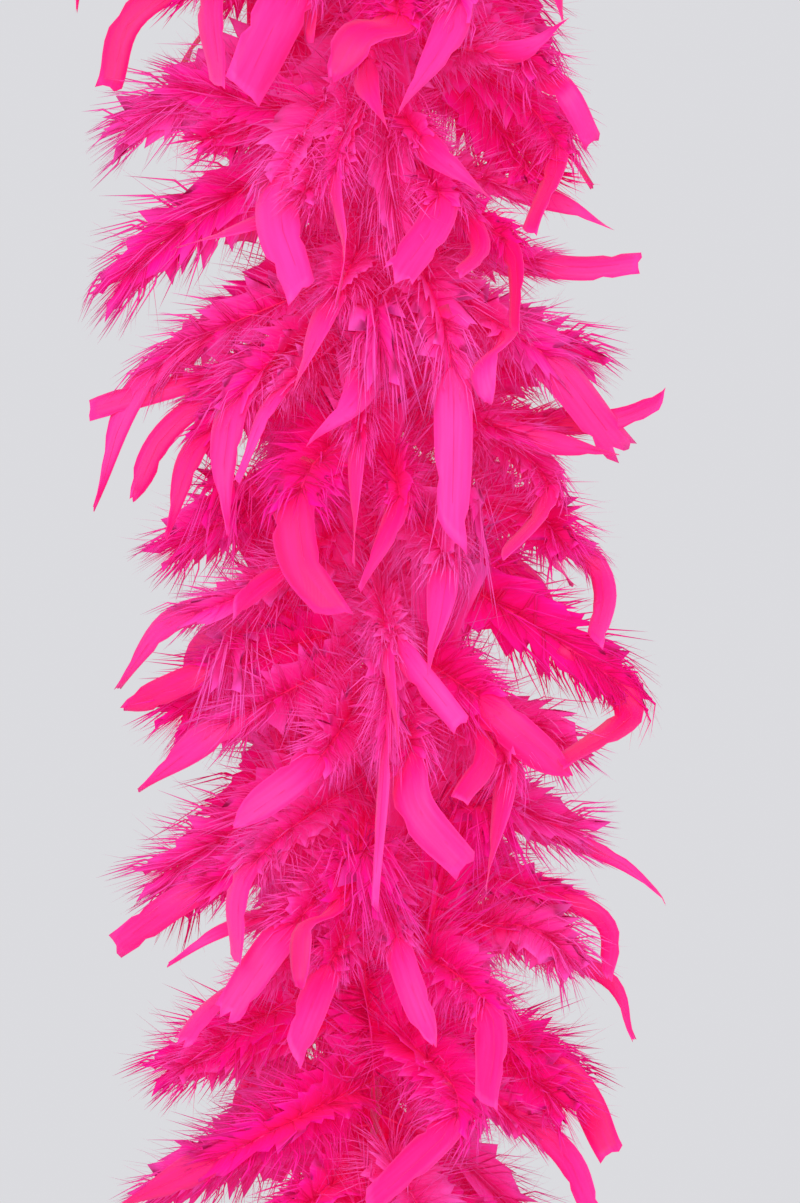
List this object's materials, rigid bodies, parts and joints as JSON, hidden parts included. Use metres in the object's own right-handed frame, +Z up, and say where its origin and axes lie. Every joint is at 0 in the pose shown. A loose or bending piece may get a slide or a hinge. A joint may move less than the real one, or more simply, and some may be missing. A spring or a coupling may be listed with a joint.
{
  "type": "feather boa",
  "caption": "Long round garland of dyed turkey flats on a twisted cord, with a thread-bound cord loop at each end, hanging straight down.",
  "frame": {"origin": "where a hook bears on the inside of the hanging loop at the boa's top end", "axes": "+Z up along the hanging boa, +X to the viewer's right, +Y away from the viewer"},
  "size_m": [0.194, 0.194, 1.9221],
  "materials": {
    "feather": "satin dyed feather, hot pink",
    "cord": "twisted cotton cord dyed to match",
    "whipping_thread": "tightly wound dyed thread"
  },
  "bodies": {
    "top_loop": {"hanging_loop": "cord"},
    "segment_01": {"core_cord_01": "cord", "feathers_01_upper": "feather", "feathers_01_middle": "feather", "feathers_01_lower": "feather", "top_whipping": "whipping_thread"},
    "segment_02": {"core_cord_02": "cord", "feathers_02_upper": "feather", "feathers_02_middle": "feather", "feathers_02_lower": "feather"},
    "segment_03": {"core_cord_03": "cord", "feathers_03_upper": "feather", "feathers_03_middle": "feather", "feathers_03_lower": "feather"},
    "segment_04": {"core_cord_04": "cord", "feathers_04_upper": "feather", "feathers_04_middle": "feather", "feathers_04_lower": "feather"},
    "segment_05": {"core_cord_05": "cord", "feathers_05_upper": "feather", "feathers_05_middle": "feather", "feathers_05_lower": "feather"},
    "segment_06": {"core_cord_06": "cord", "feathers_06_upper": "feather", "feathers_06_middle": "feather", "feathers_06_lower": "feather"},
    "segment_07": {"core_cord_07": "cord", "feathers_07_upper": "feather", "feathers_07_middle": "feather", "feathers_07_lower": "feather"},
    "segment_08": {"core_cord_08": "cord", "feathers_08_upper": "feather", "feathers_08_middle": "feather", "feathers_08_lower": "feather"},
    "segment_09": {"core_cord_09": "cord", "feathers_09_upper": "feather", "feathers_09_middle": "feather", "feathers_09_lower": "feather"},
    "segment_10": {"core_cord_10": "cord", "feathers_10_upper": "feather", "feathers_10_middle": "feather", "feathers_10_lower": "feather"},
    "segment_11": {"core_cord_11": "cord", "feathers_11_upper": "feather", "feathers_11_middle": "feather", "feathers_11_lower": "feather"},
    "segment_12": {"core_cord_12": "cord", "feathers_12_upper": "feather", "feathers_12_middle": "feather", "feathers_12_lower": "feather", "tail_whipping": "whipping_thread"},
    "end_loop": {"tail_loop": "cord"}
  },
  "joints": [
    {"name": "loop_swing", "type": "hinge", "parent": "top_loop", "child": "segment_01", "pos_m": [0, 0, -0.0396], "axis": [1, 0, 0], "range_deg": [-30, 30], "deforming": ["feathers_01_upper"]},
    {"name": "bend_01", "type": "hinge", "parent": "segment_01", "child": "segment_02", "pos_m": [0, 0, -0.1927], "axis": [0, 1, 0], "range_deg": [-30, 30], "deforming": ["feathers_01_lower", "feathers_02_upper"]},
    {"name": "bend_02", "type": "hinge", "parent": "segment_02", "child": "segment_03", "pos_m": [0, 0, -0.3452], "axis": [1, 0, 0], "range_deg": [-30, 30], "deforming": ["feathers_02_lower", "feathers_03_upper"]},
    {"name": "bend_03", "type": "hinge", "parent": "segment_03", "child": "segment_04", "pos_m": [0, 0, -0.4977], "axis": [0, 1, 0], "range_deg": [-30, 30], "deforming": ["feathers_03_lower", "feathers_04_upper"]},
    {"name": "bend_04", "type": "hinge", "parent": "segment_04", "child": "segment_05", "pos_m": [0, 0, -0.6502], "axis": [1, 0, 0], "range_deg": [-30, 30], "deforming": ["feathers_04_lower", "feathers_05_upper"]},
    {"name": "bend_05", "type": "hinge", "parent": "segment_05", "child": "segment_06", "pos_m": [0, 0, -0.8027], "axis": [0, 1, 0], "range_deg": [-30, 30], "deforming": ["feathers_05_lower", "feathers_06_upper"]},
    {"name": "bend_06", "type": "hinge", "parent": "segment_06", "child": "segment_07", "pos_m": [0, 0, -0.9552], "axis": [1, 0, 0], "range_deg": [-30, 30], "deforming": ["feathers_06_lower", "feathers_07_upper"]},
    {"name": "bend_07", "type": "hinge", "parent": "segment_07", "child": "segment_08", "pos_m": [0, 0, -1.1077], "axis": [0, 1, 0], "range_deg": [-30, 30], "deforming": ["feathers_07_lower", "feathers_08_upper"]},
    {"name": "bend_08", "type": "hinge", "parent": "segment_08", "child": "segment_09", "pos_m": [0, 0, -1.2602], "axis": [1, 0, 0], "range_deg": [-30, 30], "deforming": ["feathers_08_lower", "feathers_09_upper"]},
    {"name": "bend_09", "type": "hinge", "parent": "segment_09", "child": "segment_10", "pos_m": [0, 0, -1.4127], "axis": [0, 1, 0], "range_deg": [-30, 30], "deforming": ["feathers_09_lower", "feathers_10_upper"]},
    {"name": "bend_10", "type": "hinge", "parent": "segment_10", "child": "segment_11", "pos_m": [0, 0, -1.5652], "axis": [1, 0, 0], "range_deg": [-30, 30], "deforming": ["feathers_10_lower", "feathers_11_upper"]},
    {"name": "bend_11", "type": "hinge", "parent": "segment_11", "child": "segment_12", "pos_m": [0, 0, -1.7177], "axis": [0, 1, 0], "range_deg": [-30, 30], "deforming": ["feathers_11_lower", "feathers_12_upper"]},
    {"name": "tail_loop_swing", "type": "hinge", "parent": "segment_12", "child": "end_loop", "pos_m": [0, 0, -1.8708], "axis": [1, 0, 0], "range_deg": [-30, 30], "deforming": ["feathers_12_lower"]}
  ]
}
